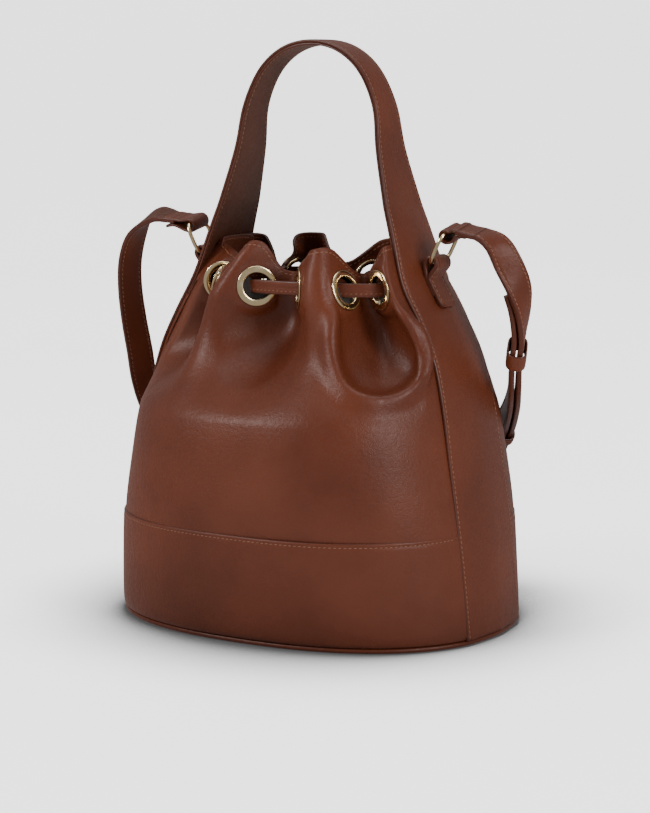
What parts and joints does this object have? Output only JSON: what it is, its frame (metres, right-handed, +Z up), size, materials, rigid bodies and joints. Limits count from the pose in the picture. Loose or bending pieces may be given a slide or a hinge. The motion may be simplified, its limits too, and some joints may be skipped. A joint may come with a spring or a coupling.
{
  "type": "bucket bag",
  "caption": "Leather bucket bag with a gathered mouth, eyelets and drawstring, side strips running up into a top handle, and a shoulder strap on two rings.",
  "frame": {"origin": "centre of the base's underside, on the surface that the bag stands on", "axes": "+Z up, +X along the bag's width from one side strip to the other, -Y out of the front"},
  "size_m": [0.3294, 0.2671, 0.4047],
  "materials": {
    "brown_leather": "smooth fine-grained cognac leather with a satin sheen",
    "leather_inside": "matt dark inner ply",
    "gold_metal": "polished light gold",
    "dark_lining": "matt dark woven lining",
    "zip_tape": "woven tape with teeth",
    "stiffener": "fibreboard"
  },
  "bodies": {
    "bag": {"base_panel": "brown_leather", "front_base_band": "brown_leather", "back_base_band": "brown_leather", "front_panel": "brown_leather", "back_panel": "brown_leather", "gusset_left": "brown_leather", "handle_neck_left": "brown_leather", "gusset_right": "brown_leather", "handle_neck_right": "brown_leather", "front_eyelet_1": "gold_metal", "front_eyelet_2": "gold_metal", "front_eyelet_3": "gold_metal", "front_eyelet_4": "gold_metal", "front_eyelet_5": "gold_metal", "front_eyelet_6": "gold_metal", "back_eyelet_1": "gold_metal", "back_eyelet_2": "gold_metal", "back_eyelet_3": "gold_metal", "back_eyelet_4": "gold_metal", "back_eyelet_5": "gold_metal", "back_eyelet_6": "gold_metal", "drawstring": "brown_leather", "ring_tab_left": "brown_leather", "ring_tab_right": "brown_leather", "strap_short": "brown_leather", "strap_long": "brown_leather", "keeper_fixed": "brown_leather", "buckle_frame": "gold_metal", "base_board": "stiffener", "lining": "dark_lining", "pocket_panel": "dark_lining", "zip_tape": "zip_tape"},
    "handle": {"handle": "brown_leather", "handle_facing": "leather_inside"},
    "ring_left": {"ring_left": "gold_metal", "strap_fold_left": "brown_leather"},
    "ring_right": {"ring_right": "gold_metal", "strap_fold_right": "brown_leather"},
    "keeper_sliding": {"keeper_sliding": "brown_leather"},
    "buckle_prong": {"buckle_prong": "gold_metal"},
    "drawstring_stopper": {"drawstring_stopper": "brown_leather"},
    "zip_slider": {"zip_slider": "gold_metal"},
    "zip_pull": {"zip_pull": "gold_metal"}
  },
  "joints": [
    {"name": "handle_tilt", "type": "hinge", "parent": "bag", "child": "handle", "pos_m": [0, 0, 0.262], "axis": [1, 0, 0], "range_deg": [-30, 30], "stiffness_Nm_per_rad": 0.3, "deforming": ["handle_neck_left", "handle_neck_right"]},
    {"name": "ring_left_swing", "type": "hinge", "parent": "bag", "child": "ring_left", "pos_m": [-0.0932, 0, 0.2534], "axis": [0, -1, 0], "range_deg": [-15, 35], "deforming": ["strap_long", "strap_short"]},
    {"name": "ring_right_swing", "type": "hinge", "parent": "bag", "child": "ring_right", "pos_m": [0.0932, 0, 0.2534], "axis": [0, 1, 0], "range_deg": [-15, 35], "deforming": ["strap_short", "strap_long"]},
    {"name": "keeper_slide", "type": "slide", "parent": "bag", "child": "keeper_sliding", "axis": [-0.3016, 0.3984, -0.8662], "range_m": [-0.012, 0.012], "deforming": ["strap_short", "strap_long"]},
    {"name": "buckle_prong_lift", "type": "hinge", "parent": "bag", "child": "buckle_prong", "pos_m": [0.08403, 0.12153, 0.11271], "axis": [0.4847, -0.4031, -0.7763], "range_deg": [0, 70]},
    {"name": "stopper_slide", "type": "slide", "parent": "bag", "child": "drawstring_stopper", "axis": [0, 0.6948, -0.7192], "range_m": [0, 0.03], "deforming": ["drawstring"]},
    {"name": "zip_slide", "type": "slide", "parent": "bag", "child": "zip_slider", "axis": [1, 0, 0], "range_m": [0, 0.084]},
    {"name": "zip_pull_swing", "type": "hinge", "parent": "zip_slider", "child": "zip_pull", "pos_m": [-0.042, 0.0937, 0.1005], "axis": [-1, 0, 0], "range_deg": [0, 80]}
  ]
}
